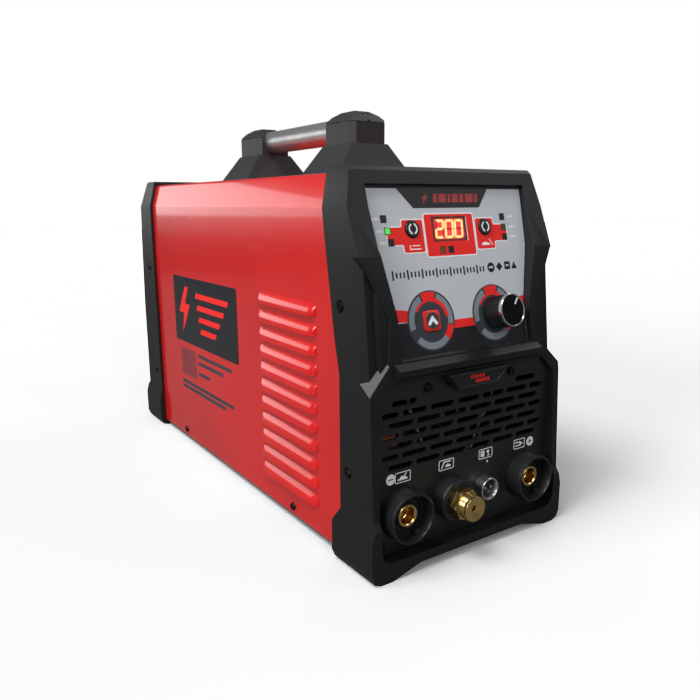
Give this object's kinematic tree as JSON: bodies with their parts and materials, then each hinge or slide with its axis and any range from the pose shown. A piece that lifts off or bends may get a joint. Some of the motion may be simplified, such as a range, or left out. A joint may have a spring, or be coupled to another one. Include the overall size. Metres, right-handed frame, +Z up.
{
  "type": "tig welder",
  "caption": "Portable inverter TIG welder: red folded case between black end frames, leaning control panel, grilled socket panel, carrying handle, rear fan and fittings.",
  "frame": {"origin": "centre of the bounding box in plan, on the floor under the feet", "axes": "+Z up, -Y out of the control and socket panels (front), +X to the right seen from the front"},
  "size_m": [0.169, 0.437, 0.2945],
  "materials": {
    "black_plastic": "moulded black, fine spark texture",
    "panel_plastic": "smooth black, satin",
    "red_paint": "glossy red enamel on folded sheet steel",
    "plated_steel": "zinc plated, dull",
    "overlay_film": "printed grey film with a black lower part and a red stripe",
    "smoked_window": "dark red smoked acrylic",
    "display_black": "black display body",
    "button_black": "black, polished",
    "button_red": "red, satin",
    "chrome": "bright plated",
    "brass": "turned brass",
    "nickel": "nickel plated, satin",
    "tube_aluminium": "pale satin aluminium",
    "sink_aluminium": "extruded, dull",
    "circuit_board": "green solder mask",
    "copper": "bare copper",
    "ferrite": "dark ferrite",
    "sleeve": "dark blue heat-shrink sleeve",
    "black_zinc": "black zinc plated"
  },
  "bodies": {
    "housing": {"front_bezel": "black_plastic", "rear_bezel": "black_plastic", "handle_front_post": "black_plastic", "handle_rear_post": "black_plastic", "handle_front_cap": "black_plastic", "handle_rear_cap": "black_plastic", "front_badge": "black_plastic", "fan_frame": "black_plastic", "power_switch_body": "black_plastic", "cable_gland": "black_plastic", "socket_panel": "panel_plastic", "negative_socket_collar": "panel_plastic", "positive_socket_collar": "panel_plastic", "torch_flange": "panel_plastic", "trigger_socket_insert": "panel_plastic", "cover": "red_paint", "base_plate": "plated_steel", "rear_panel": "plated_steel", "potentiometer": "plated_steel", "control_overlay": "overlay_film", "display_window": "smoked_window", "display_module": "display_black", "fan_guard": "chrome", "negative_socket_insert": "brass", "positive_socket_insert": "brass", "torch_nut": "brass", "torch_connector": "brass", "gas_inlet": "brass", "earth_stud": "brass", "gas_valve": "brass", "trigger_socket_shell": "nickel", "handle_tube": "tube_aluminium", "igbt_heat_sink": "sink_aluminium", "rectifier_heat_sink": "sink_aluminium", "main_board": "circuit_board", "display_board": "circuit_board", "negative_busbar": "copper", "positive_busbar": "copper", "output_choke": "copper", "main_transformer": "ferrite", "capacitor_1": "sleeve", "capacitor_2": "sleeve", "front_screw_left_upper": "black_zinc", "front_screw_left_lower": "black_zinc", "front_screw_right_upper": "black_zinc", "front_screw_right_lower": "black_zinc", "rear_screw_left_upper": "black_zinc", "rear_screw_left_lower": "black_zinc", "rear_screw_right_upper": "black_zinc", "rear_screw_right_lower": "black_zinc", "panel_screw_upper": "black_zinc", "panel_screw_lower": "black_zinc"},
    "knob": {"current_knob": "button_black", "knob_ring": "chrome", "knob_shaft": "nickel"},
    "mode_button_left": {"mode_button_left": "button_black"},
    "mode_button_right": {"mode_button_right": "button_black"},
    "select_button": {"select_button": "button_red"},
    "rocker": {"power_switch_rocker": "button_red"},
    "fan": {"fan_rotor": "panel_plastic"}
  },
  "joints": [
    {"name": "knob_turn", "type": "hinge", "parent": "housing", "child": "knob", "pos_m": [0.027, -0.1864, 0.1566], "axis": [0, 0.9736, -0.2284], "range_deg": [-186, 114]},
    {"name": "mode_left_press", "type": "slide", "parent": "housing", "child": "mode_button_left", "axis": [0, 0.9736, -0.2284], "range_m": [0, 0.001], "stiffness_N_per_m": 600},
    {"name": "mode_right_press", "type": "slide", "parent": "housing", "child": "mode_button_right", "axis": [0, 0.9736, -0.2284], "range_m": [0, 0.001], "stiffness_N_per_m": 600},
    {"name": "select_press", "type": "slide", "parent": "housing", "child": "select_button", "axis": [0, 0.9736, -0.2284], "range_m": [0, 0.001], "stiffness_N_per_m": 600},
    {"name": "rocker_tilt", "type": "hinge", "parent": "housing", "child": "rocker", "pos_m": [0.045, 0.1978, 0.209], "axis": [1, 0, 0], "range_deg": [-20, 0]},
    {"name": "fan_spin", "type": "hinge", "parent": "housing", "child": "fan", "pos_m": [0, 0.1785, 0.118], "axis": [0, 1, 0], "continuous": true}
  ]
}
